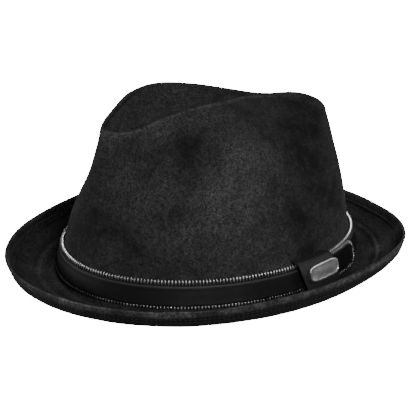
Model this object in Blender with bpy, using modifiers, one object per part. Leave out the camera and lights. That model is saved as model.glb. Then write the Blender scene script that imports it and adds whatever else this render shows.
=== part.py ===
"""A black leather fedora with a teardrop crown, a turned-up brim and a zip-edged band.

Metres, +Z up. The hat stands on its brim: the origin is under the middle of the hat, on the
surface that it rests on. The wearer looks along -Y, so +Y is the back and +X the wearer's left.

Every ring of the hat is an oval read by its turn: 0 at the back, 90 at the wearer's left and
180 at the front. The foot of the crown is the oval that the brim, the band and all that sits
on the band are worked out from.
"""
import math

import bmesh
import bpy

# The crown
FOOT_LENGTH = 0.2102
FOOT_WIDTH = 0.1742
CROWN_LEATHER = 0.0018
WALL_LEAN = math.radians(13.7)
RIDGE_HEIGHT = 0.1225
RIDGE_LENGTH = 0.1550
RIDGE_WIDTH = 0.0680
RIDGE_FORWARD = 0.0015
DENT_DEPTH = 0.0220
PINCH_DEPTH = 0.0060

# The brim
BRIM_LEATHER = 0.0018
BRIM_REACH = 0.0307
BRIM_LIP = 0.0040
CREASE_HEIGHT = 0.0104
RIM_HEIGHT = 0.0110
RIM_FLARE = 0.0060

# The band
BAND_REST = 0.0030
ZIP_HEIGHT = 0.0034
ZIP_DEPTH = 0.0026
TAPE_THICKNESS = 0.0007
TAPE_TUCK = 0.0050
STRAP_HEIGHT = 0.0118
STRAP_LEATHER = 0.0014

# The tongue, the keeper and the plate on it
TONGUE_OUT = 0.0340
TONGUE_UNDER = 0.0260
TONGUE_TIP = 1.15
TONGUE_LEATHER = 0.0012
TONGUE_ZIP_DEPTH = 0.0020
KEEPER_TURN = math.radians(71.5)
KEEPER_WIDTH = 0.0310
KEEPER_LEATHER = 0.0012
KEEPER_SLANT = 0.0060
KEEPER_ROOM = 0.0008
PLATE_WIDTH = 0.0270
PLATE_HEIGHT = 0.0110
PLATE_THICKNESS = 0.0016
PLATE_RAISE = 0.0025
PLATE_BACK = 0.0020
PLATE_SQUARE = 0.5

# What keeps touching pieces apart
GAP = 0.0003

# How finely the ovals are divided
AROUND = 64

# The finishes
NUBUCK = (0.018, 0.018, 0.019)
SMOOTH_LEATHER = (0.012, 0.012, 0.013)
CHROME = (0.75, 0.75, 0.76)

# The ridge round the dent, from the back to the front: its half width as a share of half the
# ridge's width, its height as a share of the ridge's height, and the depth of the dent beside it.
RIDGE = {
    "turn": (0, 30, 45, 60, 75, 90, 105, 120, 135, 150, 165, 180),
    "wide": (0.50, 0.27, 0.14, 0.15, 0.38, 0.72, 0.93, 1.00, 1.00, 1.00, 0.92, 0.88),
    "high": (0.870, 0.885, 0.907, 0.928, 0.962, 0.987, 1.000, 0.982, 0.935, 0.892, 0.880, 0.878),
    "deep": (0.05, 0.09, 0.10, 0.14, 0.35, 0.68, 0.93, 1.00, 0.95, 0.80, 0.62, 0.50),
}

# The wall from the top of the band to the ridge: how far up, and what is still left of the way
# in to the ridge at seven turns round the hat. The pinch is a share of its depth.
WALL = {
    "up": (0.00, 0.22, 0.45, 0.66, 0.80, 0.90, 0.965, 1.00),
    "back": (1.00, 0.88, 0.70, 0.51, 0.38, 0.28, 0.16, 0.00),
    "back_edge": (1.00, 0.92, 0.81, 0.67, 0.58, 0.50, 0.38, 0.00),
    "back_corner": (1.00, 0.94, 0.86, 0.74, 0.62, 0.44, 0.17, 0.00),
    "back_side": (1.00, 0.925, 0.83, 0.71, 0.58, 0.38, 0.15, 0.00),
    "side": (1.00, 0.915, 0.825, 0.70, 0.575, 0.42, 0.24, 0.00),
    "front_corner": (1.00, 0.88, 0.67, 0.45, 0.32, 0.21, 0.10, 0.00),
    "front": (1.00, 0.79, 0.50, 0.25, 0.13, 0.06, 0.03, 0.00),
    "pinch": (0.00, 0.20, 0.50, 0.75, 0.75, 0.50, 0.20, 0.00),
}
WALL_PLACES = ("back", "back_edge", "back_corner", "back_side", "side", "front_corner", "front")
WALL_TURNS = (0, 22, 45, 70, 95, 145, 180)

# The dent, from the ridge in to the middle line: how far in, and how far down.
DENT = {
    "in": (0.00, 0.12, 0.36, 0.68, 1.00),
    "down": (0.00, 0.05, 0.48, 0.90, 1.00),
}
DENT_END = 0.25
PINCH_TURN = math.radians(145)
PINCH_SPREAD = math.radians(24)

# The brim round the hat: how high its crease lies, how tall its rim is and how far it flares,
# as shares of the named sizes.
BRIM_ROUND = {
    "turn": (0, 30, 60, 90, 120, 150, 180),
    "crease": (0.72, 1.08, 1.36, 1.08, 0.77, 0.65, 0.58),
    "rim": (0.42, 0.40, 0.58, 0.78, 0.74, 0.81, 0.94),
    "flare": (0.70, 0.36, 0.00, 0.00, 0.15, 0.60, 1.00),
}

# The brim from its inner edge to its crease: how far out, and how far up.
DISH = {
    "out": (0.08, 0.24, 0.50, 0.75, 0.92, 1.00),
    "up": (0.00, 0.00, 0.22, 0.55, 0.84, 1.00),
}
# The rim above the crease: how far out on its flare, and how far up.
RIM = {
    "out": (0.34, 0.66, 1.00),
    "up": (0.14, 0.48, 1.00),
}

# How far back the hat is set, so that its middle lies over the origin: its two ends flare unequally
SET_BACK = RIM_FLARE * (BRIM_ROUND["flare"][-1] - BRIM_ROUND["flare"][0]) / 2

# What the named sizes come to
BAND_FOOT = BRIM_LEATHER + BAND_REST
STRAP_FOOT = BAND_FOOT + ZIP_HEIGHT + GAP
STRAP_TOP = STRAP_FOOT + STRAP_HEIGHT
BAND_TOP = STRAP_TOP + GAP + ZIP_HEIGHT
CROWN_FOOT = BRIM_LEATHER + GAP + CROWN_LEATHER * math.sin(WALL_LEAN)
STRAP_STANDS = GAP + TAPE_THICKNESS + GAP
TONGUE_STANDS = max(STRAP_STANDS + STRAP_LEATHER, GAP + ZIP_DEPTH) + GAP
TONGUE_DEPTH = max(TONGUE_LEATHER, TONGUE_ZIP_DEPTH) / math.cos(WALL_LEAN)
KEEPER_STANDS = TONGUE_STANDS + TONGUE_DEPTH + KEEPER_ROOM
PLATE_STANDS = KEEPER_STANDS + KEEPER_LEATHER / math.cos(WALL_LEAN) + GAP
TONGUE_HALF_HEIGHT = (BAND_TOP - BAND_FOOT) / 2 - TONGUE_ZIP_DEPTH * math.sin(WALL_LEAN)


def read(table, along, column, place):
    """Reads a column of a table at a place on a smooth curve through its rows."""
    places = table[along]
    values = table[column]
    last = len(places) - 1
    row = max(k for k in range(last) if places[k] <= place or k == 0)

    def slope(k):
        before, after = max(k - 1, 0), min(k + 1, last)
        return (values[after] - values[before]) / (places[after] - places[before])

    step = places[row + 1] - places[row]
    t = min(max((place - places[row]) / step, 0.0), 1.0)
    start, end = values[row], values[row + 1]
    bend_out, bend_in = slope(row) * step, slope(row + 1) * step
    return (
        start * (2 * t ** 3 - 3 * t ** 2 + 1) + bend_out * (t ** 3 - 2 * t ** 2 + t)
        + end * (3 * t ** 2 - 2 * t ** 3) + bend_in * (t ** 3 - t ** 2)
    )


def turns():
    """The turns of an oval's points, in radians from the back."""
    return [2 * math.pi * k / AROUND for k in range(AROUND)]


def from_back(turn):
    """The turn in degrees from the back, the same on both sides of the hat."""
    return abs(math.degrees(math.remainder(turn, 2 * math.pi)))


def wall_point(turn, height, stands=0.0):
    """A point on the crown's wall beside the band, or standing out from it."""
    out = stands - (height - CROWN_FOOT) * math.tan(WALL_LEAN)
    return (
        (FOOT_WIDTH / 2 + out) * math.sin(turn),
        (FOOT_LENGTH / 2 + out) * math.cos(turn),
        height,
    )


def ridge_point(turn):
    """A point on the ridge round the dent."""
    back = from_back(turn)
    half_width = RIDGE_WIDTH / 2 * read(RIDGE, "turn", "wide", back)
    return (
        half_width * math.sin(turn),
        RIDGE_LENGTH / 2 * math.cos(turn) - RIDGE_FORWARD,
        RIDGE_HEIGHT * read(RIDGE, "turn", "high", back),
    )


def crown_ring(row):
    """A ring of the crown between the top of the band and the ridge."""
    up = WALL["up"][row]
    shares = {"turn": WALL_TURNS, "left": [WALL[place][row] for place in WALL_PLACES]}
    ring = []
    for turn in turns():
        foot = wall_point(turn, BAND_TOP)
        ridge = ridge_point(turn)
        out = read(shares, "turn", "left", from_back(turn))
        bulge = math.exp(-((math.radians(from_back(turn)) - PINCH_TURN) / PINCH_SPREAD) ** 2)
        pinch = PINCH_DEPTH * WALL["pinch"][row] * bulge
        x = ridge[0] + out * (foot[0] - ridge[0]) - pinch * math.sin(turn)
        y = ridge[1] + out * (foot[1] - ridge[1]) - pinch * math.cos(turn)
        z = foot[2] + up * (ridge[2] - foot[2])
        ring.append((x, y, z))
    return ring


def dent_ring(row):
    """A ring of the dent between the ridge and the middle line, which is the last one."""
    ring = []
    for turn in turns():
        x, y, z = ridge_point(turn)
        depth = DENT_DEPTH * read(RIDGE, "turn", "deep", from_back(turn))
        along = (y + RIDGE_FORWARD) * (1 - DENT_END * DENT["in"][row]) - RIDGE_FORWARD
        ring.append((x * (1 - DENT["in"][row]), along, z - depth * DENT["down"][row]))
    return ring


def brim_point(turn, out, up, rim_out=0.0, rim_up=0.0):
    """A point on the upper side of the brim, by its shares of the dish and of the rim."""
    back = from_back(turn)
    reach = BRIM_REACH * out + RIM_FLARE * rim_out * read(BRIM_ROUND, "turn", "flare", back)
    crease = CREASE_HEIGHT * read(BRIM_ROUND, "turn", "crease", back)
    rim = RIM_HEIGHT * read(BRIM_ROUND, "turn", "rim", back)
    return (
        (FOOT_WIDTH / 2 + reach) * math.sin(turn),
        (FOOT_LENGTH / 2 + reach) * math.cos(turn),
        BRIM_LEATHER + crease * up + rim * rim_up,
    )


def round_the_band(turn, distance):
    """The turn that lies a distance further towards the back, along the outside of the band."""
    steps = 12
    for _ in range(steps):
        speed = math.hypot(FOOT_WIDTH / 2 * math.cos(turn), FOOT_LENGTH / 2 * math.sin(turn))
        turn -= distance / steps / speed
    return turn


def band_point(distance, height, stands):
    """A point over the band: towards the back from the keeper's middle, and above the band's."""
    middle = (BAND_FOOT + BAND_TOP) / 2
    return wall_point(round_the_band(KEEPER_TURN, distance), middle + height, stands)


def spread(start, end, count):
    """Evenly spaced values from the start to the end, both of them included."""
    return [start + (end - start) * k / (count - 1) for k in range(count)]


def surface(name, rows, round_columns=False, round_rows=False):
    """Makes an object that joins each row of points to the next.

    Its faces look out where the rows run upward and the points towards the front by the left.
    """
    mesh = bpy.data.meshes.new(name)
    shape = bmesh.new()
    lines = [[shape.verts.new((x, y + SET_BACK, z)) for x, y, z in row] for row in rows]
    pairs = list(zip(lines, lines[1:]))
    if round_rows:
        pairs.append((lines[-1], lines[0]))
    for lower, upper in pairs:
        last = len(lower) if round_columns else len(lower) - 1
        for k in range(last):
            n = (k + 1) % len(lower)
            shape.faces.new((lower[k], upper[k], upper[n], lower[n]))
    bmesh.ops.remove_doubles(shape, verts=shape.verts, dist=0.00001)
    shape.to_mesh(mesh)
    shape.free()
    piece = bpy.data.objects.new(name, mesh)
    hat.objects.link(piece)
    return piece


def thicken(piece, thickness, side, even=True):
    """Gives a surface its thickness: -1 puts it behind the faces and 1 in front of them."""
    solid = piece.modifiers.new("Thickness", "SOLIDIFY")
    solid.thickness = thickness
    solid.offset = side
    solid.use_even_offset = even


def finish(piece, colour, roughness, metallic):
    """Gives a piece a material of its own and smooth shading."""
    material = bpy.data.materials.new(piece.name)
    material.use_nodes = True
    shader = material.node_tree.nodes["Principled BSDF"]
    shader.inputs["Base Color"].default_value = (*colour, 1.0)
    shader.inputs["Roughness"].default_value = roughness
    shader.inputs["Metallic"].default_value = metallic
    piece.data.materials.append(material)
    piece.data.shade_smooth()
    piece.data.set_sharp_from_angle(angle=math.radians(40))


def make_crown():
    """The crown: one leather shell from its foot on the brim, over the ridge and into the dent."""
    rows = [[wall_point(turn, CROWN_FOOT) for turn in turns()]]
    rows += [crown_ring(row) for row in range(len(WALL["up"]))]
    rows += [dent_ring(row) for row in range(1, len(DENT["in"]))]
    crown = surface("crown", rows, round_columns=True)
    thicken(crown, CROWN_LEATHER, -1, even=False)
    finish(crown, NUBUCK, 0.85, 0.0)


def make_brim():
    """The brim: one shell, flat under the crown, then a dish whose rim is turned up."""
    rows = [
        [brim_point(turn, 1, 1, out, up) for turn in turns()]
        for out, up in reversed(list(zip(RIM["out"], RIM["up"])))
    ]
    rows += [
        [brim_point(turn, out, up) for turn in turns()]
        for out, up in reversed(list(zip(DISH["out"], DISH["up"])))
    ]
    rows.append([brim_point(turn, -BRIM_LIP / BRIM_REACH, 0) for turn in turns()])
    brim = surface("brim", rows, round_columns=True)
    thicken(brim, BRIM_LEATHER, -1)
    finish(brim, NUBUCK, 0.80, 0.0)


def band_ring(name, corners):
    """A ring round the hat through the corners of its section, as standing out and height."""
    rows = [[wall_point(turn, height, stands) for turn in turns()] for stands, height in corners]
    return surface(name, rows, round_columns=True, round_rows=True)


def make_strap():
    """The smooth strap between the two rows of teeth."""
    outside = STRAP_STANDS + STRAP_LEATHER
    strap = band_ring("band_strap", (
        (outside, STRAP_FOOT), (outside, STRAP_TOP),
        (STRAP_STANDS, STRAP_TOP), (STRAP_STANDS, STRAP_FOOT),
    ))
    finish(strap, SMOOTH_LEATHER, 0.55, 0.0)


def make_zips():
    """The zips above and below the strap, their tapes tucked in behind it."""
    tape, teeth = GAP + TAPE_THICKNESS, GAP + ZIP_DEPTH
    tape_end, rail_foot = STRAP_TOP - TAPE_TUCK, STRAP_TOP + GAP
    upper = band_ring("zip_upper", (
        (tape, tape_end), (tape, rail_foot), (teeth, rail_foot),
        (teeth, BAND_TOP), (GAP, BAND_TOP), (GAP, tape_end),
    ))
    finish(upper, CHROME, 0.25, 1.0)
    tape_end, rail_top = STRAP_FOOT + TAPE_TUCK, STRAP_FOOT - GAP
    lower = band_ring("zip_lower", (
        (teeth, BAND_FOOT), (teeth, rail_top), (tape, rail_top),
        (tape, tape_end), (GAP, tape_end), (GAP, BAND_FOOT),
    ))
    finish(lower, CHROME, 0.25, 1.0)


def tongue_edge(inset):
    """The tongue's outline, set in from its zip's outer side, from its top edge round the tip."""
    half_height = TONGUE_HALF_HEIGHT
    start, end = KEEPER_WIDTH / 2 - TONGUE_UNDER, KEEPER_WIDTH / 2 + TONGUE_OUT
    tip = TONGUE_TIP * half_height
    upper = [(distance, half_height - inset) for distance in spread(start, end - tip, 9)[:-1]]
    bend = [
        (end - tip + (tip - inset) * math.cos(angle), (half_height - inset) * math.sin(angle))
        for angle in spread(math.pi / 2, -math.pi / 2, 13)
    ]
    lower = [(distance, -height) for distance, height in reversed(upper)]
    return upper + bend + lower


def make_tongue():
    """The band's free end over its start, and the zip that runs round its edge."""
    outline = tongue_edge(ZIP_HEIGHT + GAP)
    half = len(outline) // 2
    upper, lower = outline[:half], outline[:half:-1]
    columns = list(reversed(list(zip(lower, upper))))
    rows = [
        [
            band_point(low[0], low[1] + (top[1] - low[1]) * share, TONGUE_STANDS)
            for low, top in columns
        ]
        for share in spread(0.0, 1.0, 4)
    ]
    tongue = surface("tongue", rows)
    thicken(tongue, TONGUE_LEATHER, 1)
    finish(tongue, SMOOTH_LEATHER, 0.50, 0.0)

    rows = [
        [band_point(distance, height, TONGUE_STANDS) for distance, height in tongue_edge(inset)]
        for inset in (0.0, ZIP_HEIGHT)
    ]
    teeth = surface("tongue_zip", rows)
    thicken(teeth, TONGUE_ZIP_DEPTH, 1)
    finish(teeth, CHROME, 0.25, 1.0)


def make_keeper():
    """The sleeve round the band and the tongue, which turns in to the crown above and below."""
    foot = (BAND_FOOT - BAND_TOP) / 2 - KEEPER_ROOM
    fold = KEEPER_ROOM
    corners = (
        (GAP, foot), (KEEPER_STANDS - fold, foot), (KEEPER_STANDS, foot + fold),
        (KEEPER_STANDS, 0.0), (KEEPER_STANDS, -foot - fold), (KEEPER_STANDS - fold, -foot),
        (GAP, -foot),
    )
    rows = [
        [
            band_point(distance + KEEPER_SLANT * height / (2 * foot), height, stands)
            for distance in spread(KEEPER_WIDTH / 2, -KEEPER_WIDTH / 2, 8)
        ]
        for stands, height in corners
    ]
    keeper = surface("keeper", rows)
    thicken(keeper, KEEPER_LEATHER, 1)
    finish(keeper, SMOOTH_LEATHER, 0.50, 0.0)


def make_plate():
    """The plain metal plate with round ends on the keeper."""
    columns = []
    for angle in spread(math.radians(6), math.radians(174), 15):
        columns.append((
            PLATE_WIDTH / 2 * math.copysign(abs(math.cos(angle)) ** PLATE_SQUARE, math.cos(angle)),
            PLATE_HEIGHT / 2 * math.sin(angle) ** PLATE_SQUARE,
        ))
    rows = [
        [
            band_point(PLATE_BACK + distance, PLATE_RAISE + half_height * share, PLATE_STANDS)
            for distance, half_height in columns
        ]
        for share in spread(-1.0, 1.0, 4)
    ]
    plate = surface("badge_plate", rows)
    thicken(plate, PLATE_THICKNESS, 1)
    finish(plate, CHROME, 0.18, 1.0)


for old in list(bpy.data.objects):
    bpy.data.objects.remove(old, do_unlink=True)
hat = bpy.data.collections.new("leather_fedora")
bpy.context.scene.collection.children.link(hat)

make_crown()
make_brim()
make_strap()
make_zips()
make_tongue()
make_keeper()
make_plate()
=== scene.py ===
# %% [markdown]
# # A black leather fedora
# A crown of nubuck leather with a teardrop dent, a short brim that is turned up all round, and a
# leather band edged with zip teeth. The hat's solid frame is loaded first, and every visible piece
# is then made in the same place, in metres. The hat looks along -Y, and its keeper is on +X.

# %% Load the frame
import math

import bpy
import numpy as np
from mathutils import Matrix, Vector
from mathutils import noise as noise_field
from mathutils.bvhtree import BVHTree


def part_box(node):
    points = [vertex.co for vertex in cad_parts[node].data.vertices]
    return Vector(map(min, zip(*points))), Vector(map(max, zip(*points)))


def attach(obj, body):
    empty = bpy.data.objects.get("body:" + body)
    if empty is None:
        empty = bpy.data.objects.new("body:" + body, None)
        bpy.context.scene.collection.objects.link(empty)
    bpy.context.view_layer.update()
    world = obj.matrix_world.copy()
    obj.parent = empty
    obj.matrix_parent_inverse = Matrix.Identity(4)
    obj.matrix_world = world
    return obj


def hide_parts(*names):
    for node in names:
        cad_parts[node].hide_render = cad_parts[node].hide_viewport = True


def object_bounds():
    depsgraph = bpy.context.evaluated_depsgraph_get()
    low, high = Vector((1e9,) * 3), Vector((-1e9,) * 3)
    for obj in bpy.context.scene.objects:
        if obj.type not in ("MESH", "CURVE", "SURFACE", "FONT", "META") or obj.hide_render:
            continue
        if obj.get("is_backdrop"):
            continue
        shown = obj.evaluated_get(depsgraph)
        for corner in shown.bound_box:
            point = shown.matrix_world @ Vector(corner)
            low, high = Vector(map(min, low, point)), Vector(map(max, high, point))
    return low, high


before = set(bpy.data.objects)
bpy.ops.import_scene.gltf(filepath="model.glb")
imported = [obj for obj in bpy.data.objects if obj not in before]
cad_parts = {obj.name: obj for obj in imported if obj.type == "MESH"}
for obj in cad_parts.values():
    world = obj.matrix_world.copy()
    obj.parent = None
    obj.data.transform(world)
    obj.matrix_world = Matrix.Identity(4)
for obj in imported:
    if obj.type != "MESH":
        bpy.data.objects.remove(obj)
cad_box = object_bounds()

scene = bpy.context.scene
print("frame nodes:", ", ".join(sorted(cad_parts)))

# %% [markdown]
# An operator acts on all that is selected, so each step lets go of everything and picks one piece.
# Finished modifiers are applied, so that a piece is plain mesh in the end.

# %% Pick a piece and apply its modifiers
def let_go():
    """Leaves edit mode and deselects everything."""
    if bpy.context.object and bpy.context.object.mode != "OBJECT":
        bpy.ops.object.mode_set(mode="OBJECT")
    bpy.ops.object.select_all(action="DESELECT")


def pick(piece):
    """Selects one piece alone and makes it the active one."""
    let_go()
    piece.select_set(True)
    bpy.context.view_layer.objects.active = piece


def edit_all():
    """Opens the active piece for editing, with all of it selected."""
    bpy.ops.object.mode_set(mode="EDIT")
    bpy.ops.mesh.select_all(action="SELECT")


def apply_modifiers(piece):
    """Turns a piece's modifiers into plain mesh, first to last."""
    pick(piece)
    for name in [modifier.name for modifier in piece.modifiers]:
        bpy.ops.object.modifier_apply(modifier=name)


def round_edges(piece, width, segments, angle):
    """Rounds every edge that is sharper than the angle."""
    bevel = piece.modifiers.new("Rounded edges", "BEVEL")
    bevel.width = width
    bevel.segments = segments
    bevel.limit_method = "ANGLE"
    bevel.angle_limit = math.radians(angle)
    apply_modifiers(piece)

# %% [markdown]
# Wear and pressed rings depend on where each point lies, so a piece's points are read as tables,
# worked on all at once, and put back. A soft piece is a coarse cage that is subdivided. It is held
# out to the cage's size, because subdividing alone would shrink it.

# %% Read, move and refine points
def read_table(items, name):
    """One vector of each point or face of a mesh, as a table."""
    table = np.empty(len(items) * 3)
    items.foreach_get(name, table)
    return table.reshape(-1, 3)


def read_points(piece):
    """A piece's points and their normals as tables."""
    return read_table(piece.data.vertices, "co"), read_table(piece.data.vertices, "normal")


def move_points(piece, points):
    """Puts a piece's points back after they were changed as a table."""
    piece.data.vertices.foreach_set("co", points.ravel())
    piece.data.update()


def refine(piece, levels, hold=0):
    """Divides and smooths the faces. A round of hold moves the cage out by what this loses."""
    soft = piece.modifiers.new("Refined", "SUBSURF")
    soft.levels = levels
    soft.render_levels = levels
    wanted = read_points(piece)[0]
    corners = wanted.copy()
    for _ in range(hold):
        seen = piece.evaluated_get(bpy.context.evaluated_depsgraph_get())
        corners += 0.9 * (wanted - read_points(seen)[0][:len(wanted)])
        move_points(piece, corners)
    apply_modifiers(piece)


def shade_soft(piece, angle):
    """Smooth shading, broken where the surface turns sharply."""
    pick(piece)
    bpy.ops.object.shade_smooth_by_angle(angle=math.radians(angle))
    print(f"{piece.name}: {len(piece.data.polygons)} faces")

# %% [markdown]
# The crown and the brim are pressed over a block, so they are neither turned nor flat. The frame
# holds those forms in broad facets. So a copy of a frame node is the cage of the fine piece: its
# loose triangles are merged and paired into quads, which subdivide smoothly.

# %% Take a cage from the frame
MERGE_WITHIN = 0.00002


def cage_of(node, name):
    """A copy of a frame node as one connected mesh of quads, in the node's place."""
    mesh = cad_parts[node].data.copy()
    mesh.name = name
    piece = bpy.data.objects.new(name, mesh)
    scene.collection.objects.link(piece)
    pick(piece)
    bpy.ops.mesh.customdata_custom_splitnormals_clear()
    edit_all()
    bpy.ops.mesh.remove_doubles(threshold=MERGE_WITHIN)
    bpy.ops.mesh.tris_convert_to_quads(face_threshold=math.pi, shape_threshold=math.pi)
    bpy.ops.object.mode_set(mode="OBJECT")
    quads = sum(len(face.vertices) == 4 for face in mesh.polygons)
    print(f"{name}: cage of {len(mesh.polygons)} faces, {quads} of them quads")
    return piece

# %% [markdown]
# Everything on the band follows the oval at the foot of the crown, whose wall leans in as it
# rises. These few sizes give a point anywhere on that wall, so that all of it shares one surface.

# %% The oval wall behind the band
crown_low, crown_high = (Vector(corner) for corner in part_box("crown"))
HALF_WIDTH, HALF_LENGTH, _ = (crown_high - crown_low) / 2
MIDDLE_Y = (crown_high.y + crown_low.y) / 2
LEAN = math.radians(13.7)  # how far the wall leans in
FOOT = 0.00253  # the height at which the wall is as wide as the crown
STRAP_FOOT, STRAP_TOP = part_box("band_strap")[0][2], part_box("band_strap")[1][2]
BAND_FOOT, BAND_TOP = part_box("zip_lower")[0][2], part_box("zip_upper")[1][2]
KEEPER_TURN = math.radians(71.5)  # from the back to the middle of the keeper
ROUND = 2 * math.pi
TURN_STEPS = 12


def half_axes(height, stands):
    """Half the width and length of the wall's oval at a height, standing out from it."""
    out = stands - (height - FOOT) * math.tan(LEAN)
    return HALF_WIDTH + out, HALF_LENGTH + out


def on_wall(turn, height, stands):
    """A point beside the wall. The turn is 0 at the back and a right angle at the wearer's left."""
    half_width, half_length = half_axes(height, stands)
    return Vector((half_width * math.sin(turn), MIDDLE_Y + half_length * math.cos(turn), height))


def wall_axes(turn):
    """The wall's outward, along and upward directions at a turn."""
    level = Vector((math.sin(turn) / HALF_WIDTH, math.cos(turn) / HALF_LENGTH, 0)).normalized()
    out = Vector((level.x * math.cos(LEAN), level.y * math.cos(LEAN), math.sin(LEAN)))
    up = Vector((-level.x * math.sin(LEAN), -level.y * math.sin(LEAN), math.cos(LEAN)))
    return out, up.cross(out), up


def length_along(x, y):
    """How long a path is up to each of its points."""
    return np.concatenate(([0], np.cumsum(np.hypot(np.diff(x), np.diff(y)))))


def even_turns(height, stands, spacing):
    """Turns that set copies at an even spacing all the way round the wall."""
    fine = np.linspace(0, ROUND, 7201)
    half_width, half_length = half_axes(height, stands)
    length = length_along(half_width * np.sin(fine), half_length * np.cos(fine))
    count = round(length[-1] / spacing)
    return np.interp(np.arange(count) / count * length[-1], length, fine)


def band_turn(distance):
    """The turn that lies a distance behind the keeper's middle, along the wall."""
    turn = KEEPER_TURN
    for _ in range(TURN_STEPS):
        speed = math.hypot(HALF_WIDTH * math.cos(turn), HALF_LENGTH * math.sin(turn))
        turn -= distance / TURN_STEPS / speed
    return turn


print(f"wall {HALF_WIDTH * 2000:.1f} by {HALF_LENGTH * 2000:.1f} mm")
print(f"band {BAND_FOOT * 1000:.1f} to {BAND_TOP * 1000:.1f} mm high")

# %% [markdown]
# Worn leather is lighter on its edges and where hands stroke it, and no hide lies quite flat. Soft
# humps and ramps say how strong the wear and the painted light and shade are at each point. The sum
# is kept on the mesh as an attribute that its material reads, which follows the shape better than a
# painted picture.

# %% Humps, ramps and masks
def hump(away):
    """1 in the middle, falling off softly on both sides of it."""
    return np.exp(-away ** 2)


def ramp(values, start, end, least=0.0):
    """Rises from the least value to 1 between a start and an end."""
    return np.clip((values - start) / (end - start), least, 1)


def store_wear_and_light(piece, values):
    """Keeps each point's wear, painted light and painted shade as one attribute, which a material
    reads by its name.
    """
    mask = piece.data.attributes.new("wear_and_painted_light", "FLOAT", "POINT")
    mask.data.foreach_set("value", values.astype(np.float32))
    print(f"{piece.name}: worn from {values.min():.2f} to {values.max():.2f}")


def patches_on(points, patches):
    """A sum of soft patches: each at a place and with a size in mm, and with what it adds."""
    return sum(
        change * hump(np.linalg.norm(points * 1000 - place, axis=1) / size)
        for *place, size, change in patches
    )


def mottle(points, size):
    """Slow random tones over the points, from 0 to 1, the same on every run."""
    return np.array([0.5 + 0.5 * noise_field.noise(Vector(point / size)) for point in points])


def uneven(piece, size, depth, name):
    """Lets the surface wander slowly in and out, as hide does."""
    clouds = bpy.data.textures.new(name, "CLOUDS")
    clouds.noise_scale = size
    clouds.noise_depth = 1
    wander = piece.modifiers.new("Uneven", "DISPLACE")
    wander.texture = clouds
    wander.texture_coords = "LOCAL"
    wander.strength = depth
    apply_modifiers(piece)

# %% [markdown]
# ## The crown
# One shell of nubuck leather, pressed over a block, so its cage comes from the frame. Hide that was
# steamed and left to dry is slowly uneven, which a Displace modifier on a cloud pattern gives, at
# two sizes. Where the block is fuller than the cage, the leather is swollen out along its normals.

# %% The crown's shell
FULLER = (
    # where the block is fuller than its cage: place, size and height, in mm
    (-4, -83, 84, 16, 1.6), (6, 76, 106, 12, 1.4), (4, -90, 60, 16, 0.8),
)
crown = cage_of("crown", "crown_leather")
round_edges(crown, 0.0004, segments=1, angle=60)
refine(crown, 2, hold=5)
points, normals = read_points(crown)
move_points(crown, points + normals * patches_on(points, FULLER)[:, None] / 1000)
uneven(crown, 0.045, 0.0008, "slow_hide")
uneven(crown, 0.016, 0.0003, "fine_hide")

# %% [markdown]
# The leather round the dent is folded to a crest, with a pressed line just inside it. A point's
# distance inside the crest's outline, seen from above, places the line. Only the faces along the
# crest are divided once more: the line is real shape, and the plain wall stays light.

# %% The crest round the dent
RIDGE_LENGTH, RIDGE_WIDTH, RIDGE_FORWARD = 0.1550, 0.0680, 0.0015
RIDGE_TURNS = (0, 30, 45, 60, 75, 90, 105, 120, 135, 150, 165, 180)
RIDGE_WIDE = (0.50, 0.27, 0.14, 0.15, 0.38, 0.72, 0.93, 1.00, 1.00, 1.00, 0.92, 0.88)
# where the crest lies, seen from above
turns = np.arange(0, 360, 3)
wide = np.interp(np.minimum(turns, 360 - turns), RIDGE_TURNS, RIDGE_WIDE)
crest = np.column_stack((
    RIDGE_WIDTH / 2 * wide * np.sin(np.radians(turns)),
    RIDGE_LENGTH / 2 * np.cos(np.radians(turns)) - RIDGE_FORWARD + MIDDLE_Y,
))


def distance_inside(points, outline):
    """How far each point lies inside a closed outline seen from above, negative outside it."""
    nearest = np.full(len(points), np.inf)
    inside = np.zeros(len(points), bool)
    x, y = points[:, 0], points[:, 1]
    for (ax, ay), (bx, by) in zip(outline, np.roll(outline, -1, axis=0)):
        dx, dy = bx - ax, by - ay
        share = np.clip(((x - ax) * dx + (y - ay) * dy) / (dx ** 2 + dy ** 2), 0, 1)
        nearest = np.minimum(nearest, np.hypot(x - ax - share * dx, y - ay - share * dy))
        if dy:
            inside ^= ((ay > y) != (by > y)) & (x < ax + (y - ay) / dy * dx)
    return np.where(inside, nearest, -nearest)


def mark_faces(piece, marked):
    """Opens a piece for editing with only the marked faces selected."""
    pick(piece)
    bpy.ops.object.mode_set(mode="EDIT")
    bpy.ops.mesh.select_mode(type="FACE")
    bpy.ops.mesh.select_all(action="DESELECT")
    bpy.ops.object.mode_set(mode="OBJECT")
    piece.data.polygons.foreach_set("select", marked)
    bpy.ops.object.mode_set(mode="EDIT")


def close_edit():
    """Goes back from face editing to the whole object."""
    bpy.ops.mesh.select_mode(type="VERT")
    bpy.ops.object.mode_set(mode="OBJECT")


# %% The pressed line along the crest
LINE_INSIDE, LINE_HALF_WIDTH, LINE_DEPTH = 0.0026, 0.0007, 0.0007
CREST_FROM, FAR_OUTSIDE = 0.090, -0.05
faces = crown.data.polygons
middles, upward = read_table(faces, "center"), read_table(faces, "normal")[:, 2] > 0
inside = distance_inside(middles, crest)
on_crest = upward & (middles[:, 2] > 0.095) & (inside > -0.004) & (inside < 0.007)
mark_faces(crown, on_crest)
bpy.ops.mesh.subdivide(number_cuts=1, smoothness=1.0)
close_edit()
points, normals = read_points(crown)
inside = np.where(points[:, 2] > CREST_FROM, distance_inside(points, crest), FAR_OUTSIDE)
line = hump((inside - LINE_INSIDE) / LINE_HALF_WIDTH) * (normals[:, 2] > 0.1)
move_points(crown, points - normals * (line * LINE_DEPTH)[:, None])
print(f"crest: {on_crest.sum()} faces divided, line {line.max() * LINE_DEPTH * 1000:.2f} mm deep")
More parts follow.
